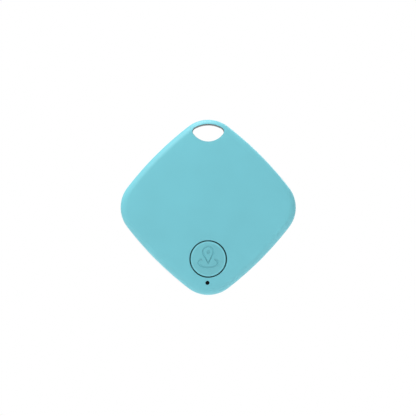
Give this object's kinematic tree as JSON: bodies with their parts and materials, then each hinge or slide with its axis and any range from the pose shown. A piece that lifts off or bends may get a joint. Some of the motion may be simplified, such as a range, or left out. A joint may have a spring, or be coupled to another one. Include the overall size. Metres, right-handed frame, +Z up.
{
  "type": "bluetooth tracker tag",
  "caption": "Flat rounded diamond tracker tag that hangs by an eye in its top corner, with a round push button, a light window and a coin cell inside.",
  "frame": {"origin": "the top of the eye's wall, where a ring bears, midway through the case", "axes": "+X to the right as the button face is looked at, +Y from the button face to the back, +Z up towards the eye"},
  "size_m": [0.052, 0.0108, 0.052],
  "materials": {
    "case_plastic": "fine satin moulded plastic",
    "button_plastic": "fine satin moulded plastic",
    "smoked_window": "smoked, polished",
    "white_ceramic": "fired ceramic",
    "clear_resin": "cast resin over phosphor",
    "black_plastic": "moulded, glass-filled",
    "sheet_metal": "pressed sheet",
    "spring_steel": "nickel-plated spring strip",
    "tinned_metal": "tinned",
    "plunger_plastic": "moulded",
    "board_laminate": "solder mask over glass laminate",
    "chip_resin": "moulded epoxy",
    "tan_ceramic": "fired ceramic, tinned ends",
    "resistor_black": "glazed, tinned ends",
    "ferrite_grey": "pressed ferrite",
    "tape_black": "foam tape",
    "sounder_brass": "rolled sheet",
    "sounder_silver": "silvered ceramic",
    "wire_red": "insulated wire",
    "wire_black": "insulated wire",
    "solder": "bright solder",
    "cell_steel": "nickel-plated steel",
    "seal_grey": "moulded polypropylene",
    "lithium_metal": "soft metal foil",
    "separator_white": "non-woven",
    "cathode_black": "pressed powder",
    "screw_steel": "zinc-plated"
  },
  "bodies": {
    "front": {"front_shell": "case_plastic", "light_guide": "smoked_window", "led_base": "white_ceramic", "led_lens": "clear_resin", "switch_base": "black_plastic", "switch_cover": "sheet_metal", "switch_dome": "spring_steel", "switch_terminals": "tinned_metal", "circuit_board": "board_laminate", "bluetooth_chip": "chip_resin", "main_crystal": "sheet_metal", "clock_crystal": "sheet_metal", "capacitors": "tan_ceramic", "resistors": "resistor_black", "boost_inductor": "ferrite_grey", "bulk_capacitor": "tan_ceramic", "buzzer_driver": "chip_resin", "driver_leads": "tinned_metal", "chip_antenna": "white_ceramic", "sounder_tape": "tape_black", "sounder_plate": "sounder_brass", "sounder_ceramic": "sounder_silver", "sounder_lead_live": "wire_red", "sounder_lead_ground": "wire_black", "solder_joints": "solder", "cell_holder": "black_plastic", "positive_contact": "spring_steel", "negative_contact": "spring_steel", "holder_screws": "screw_steel"},
    "back": {"back_shell": "case_plastic"},
    "button": {"button_cap": "button_plastic"},
    "plunger": {"switch_plunger": "plunger_plastic"},
    "cell": {"cell_can": "cell_steel", "cell_cap": "cell_steel", "cell_seal": "seal_grey", "cell_lithium": "lithium_metal", "cell_separator": "separator_white", "cell_cathode": "cathode_black"}
  },
  "joints": [
    {"name": "button_press", "type": "slide", "parent": "front", "child": "button", "axis": [0, 1, 0], "range_m": [0, 0.00025], "stiffness_N_per_m": 6400},
    {"name": "plunger_press", "type": "slide", "parent": "front", "child": "plunger", "axis": [0, 1, 0], "range_m": [0, 0.00025], "deforming": ["switch_dome"]},
    {"name": "back_shell_pull", "type": "slide", "parent": "front", "child": "back", "axis": [0, 1, 0], "range_m": [0, 0.016]},
    {"name": "cell_lift", "type": "slide", "parent": "front", "child": "cell", "axis": [0, 1, 0], "range_m": [0, 0.008]}
  ],
  "couplings": [
    {"joint": "plunger_press", "follows": "button_press", "ratio": 1},
    {"joint": "cell_lift", "follows": "back_shell_pull", "ratio": 0.5}
  ]
}
